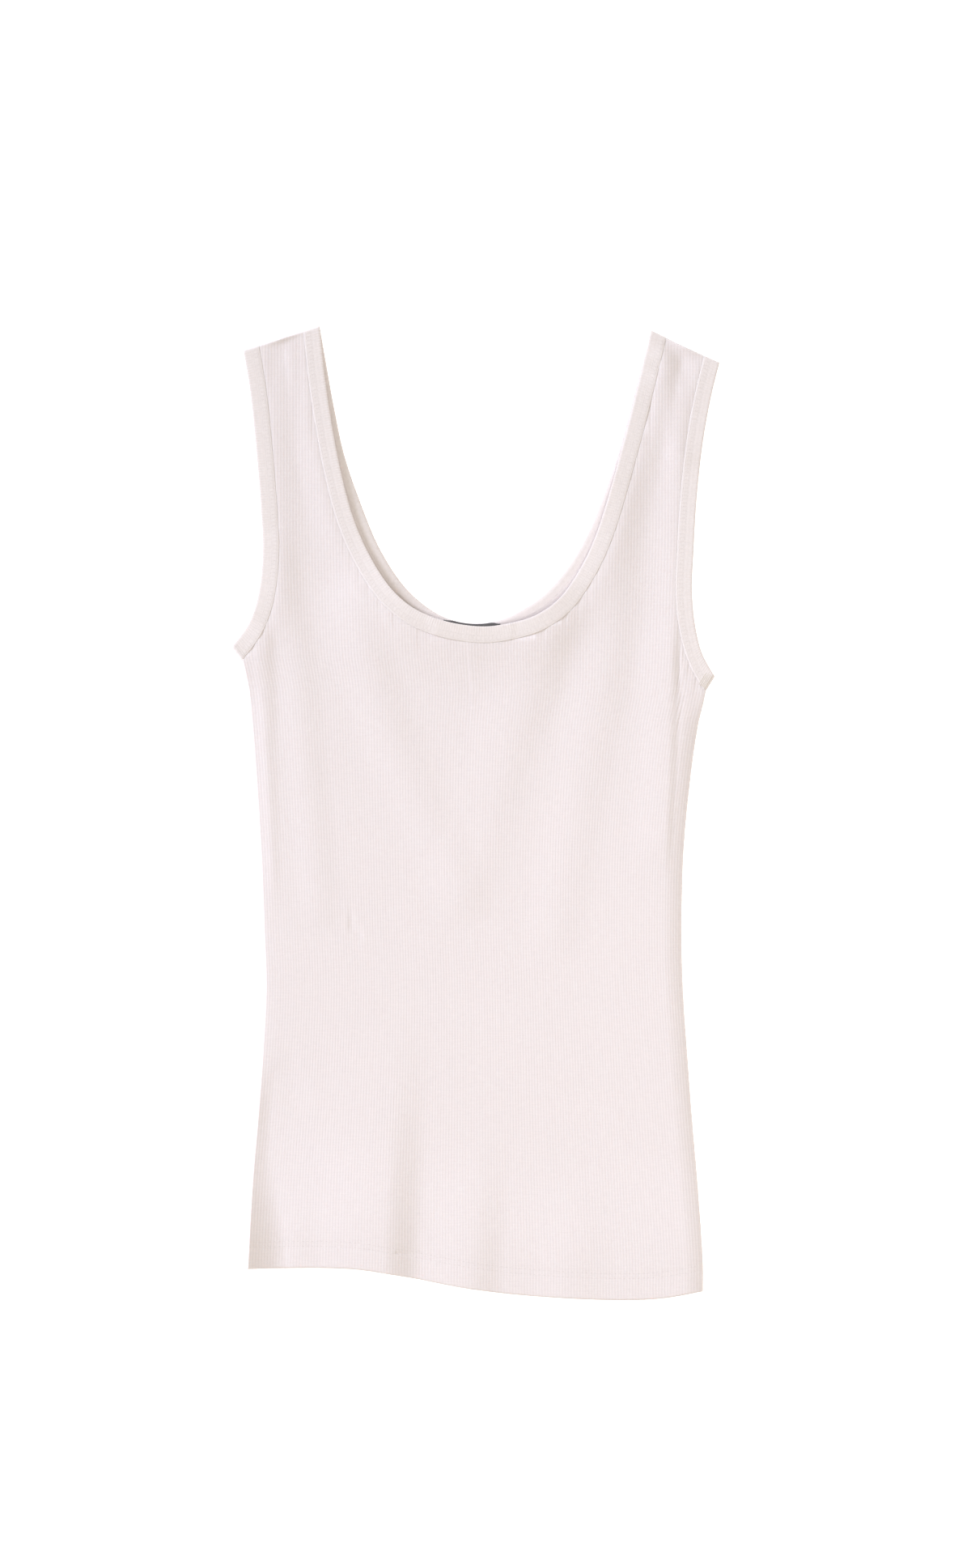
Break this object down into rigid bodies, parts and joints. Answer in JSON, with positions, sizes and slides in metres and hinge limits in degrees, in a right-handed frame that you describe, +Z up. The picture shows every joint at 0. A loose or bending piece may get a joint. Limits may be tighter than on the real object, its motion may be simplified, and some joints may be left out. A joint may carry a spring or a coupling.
{
  "type": "tank top",
  "caption": "Ribbed scoop-neck tank top laid flat, with bound neck and armholes, a turned-up hem and a plain neck label.",
  "frame": {"origin": "under the middle of the garment, on the surface it lies on", "axes": "+X to the viewer's right, +Y from the hem to the straps, +Z up from the surface through the front panel"},
  "size_m": [0.3092, 0.6188, 0.0089],
  "materials": {
    "cloth": "matte pale pinkish-white rib knit",
    "binding": "matte pale rib knit, folded and stitched",
    "label": "matte dark grey woven tape, plain"
  },
  "bodies": {
    "root": {"front_panel": "cloth", "back_panel": "cloth", "neck_binding": "binding", "armhole_binding_left": "binding", "armhole_binding_right": "binding", "neck_label": "label"}
  },
  "joints": []
}
